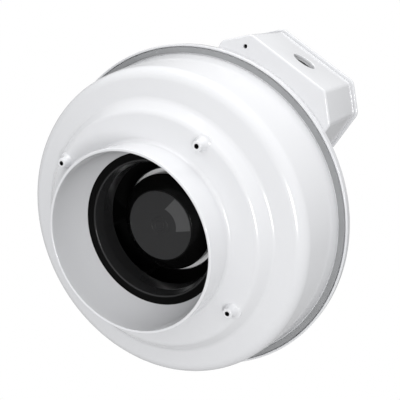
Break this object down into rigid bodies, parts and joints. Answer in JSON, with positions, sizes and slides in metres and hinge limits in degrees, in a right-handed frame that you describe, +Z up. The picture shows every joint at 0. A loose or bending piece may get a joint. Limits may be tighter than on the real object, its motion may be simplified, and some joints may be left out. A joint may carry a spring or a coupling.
{
  "type": "inline duct fan",
  "caption": "Inline duct fan: stepped round two-part casing with duct spigots, external-rotor motor with centrifugal impeller, and a terminal box on the rear shell.",
  "frame": {"origin": "on the fan axis, centre of the inlet spigot's mouth", "axes": "+Y along the fan axis with the airflow, from inlet to outlet; +Z up through the terminal box; +X to the right seen from the inlet"},
  "size_m": [0.292, 0.22, 0.3084],
  "materials": {
    "casing_white": "moulded gloss",
    "black_gloss": "moulded gloss",
    "black_plastic": "moulded satin",
    "rotor_metal": "zinc-plated, satin",
    "die_cast": "die-cast",
    "laminations": "stacked sheet",
    "copper": "enamelled copper wire",
    "bright_steel": "ground",
    "zinc_steel": "zinc-plated",
    "bearing_steel": "polished",
    "cage_brass": "pressed",
    "block_plastic": "moulded nylon",
    "terminal_brass": "plated",
    "capacitor_case": "moulded",
    "lead_sheath": "smooth sheath",
    "seal_rubber": "soft",
    "strip_grey": "soft grey strip"
  },
  "bodies": {
    "root": {"inlet_spigot": "casing_white", "outlet_spigot": "casing_white", "casing_rim": "casing_white", "joint_strip": "strip_grey", "guide_vanes": "black_plastic", "vane_hoop": "black_plastic", "front_shell": "casing_white", "rear_shell": "casing_white", "terminal_box": "casing_white", "terminal_lid": "casing_white", "inlet_cone": "black_gloss", "guide_vane_carrier": "black_plastic", "hub_rear_cover": "black_plastic", "motor_bush": "die_cast", "stator_core": "laminations", "stator_windings": "copper", "preload_washer": "bright_steel", "capacitor_clip": "zinc_steel", "terminal_block": "block_plastic", "terminal_screws": "terminal_brass", "capacitor": "capacitor_case", "motor_lead": "lead_sheath", "lead_grommet": "seal_rubber", "cable_seal": "seal_rubber", "casing_seal": "seal_rubber", "lid_gasket": "strip_grey", "casing_screws": "zinc_steel", "inlet_cone_screws": "zinc_steel", "carrier_screws": "zinc_steel", "motor_screws": "zinc_steel", "lid_screws": "zinc_steel", "box_screws": "zinc_steel", "front_bearing_outer_ring": "bearing_steel", "rear_bearing_outer_ring": "bearing_steel"},
    "rotor": {"hub_cap": "black_gloss", "rotor_can": "rotor_metal", "rotor_core": "laminations", "rotor_cage": "die_cast", "motor_shaft": "bright_steel", "retaining_ring": "bright_steel", "impeller_wheel": "black_plastic", "impeller_shroud": "black_plastic", "impeller_rivets": "bright_steel", "front_bearing_inner_ring": "bearing_steel", "rear_bearing_inner_ring": "bearing_steel"},
    "front_cage": {"front_bearing_cage": "cage_brass", "front_bearing_balls": "bearing_steel"},
    "rear_cage": {"rear_bearing_cage": "cage_brass", "rear_bearing_balls": "bearing_steel"}
  },
  "joints": [
    {"name": "rotor_spin", "type": "hinge", "parent": "root", "child": "rotor", "pos_m": [0, 0.103, 0], "axis": [0, 1, 0], "continuous": true},
    {"name": "front_cage_spin", "type": "hinge", "parent": "root", "child": "front_cage", "pos_m": [0, 0.0785, 0], "axis": [0, 1, 0], "continuous": true},
    {"name": "rear_cage_spin", "type": "hinge", "parent": "root", "child": "rear_cage", "pos_m": [0, 0.1115, 0], "axis": [0, 1, 0], "continuous": true}
  ],
  "couplings": [
    {"joint": "front_cage_spin", "follows": "rotor_spin", "ratio": 0.37},
    {"joint": "rear_cage_spin", "follows": "rotor_spin", "ratio": 0.37}
  ]
}
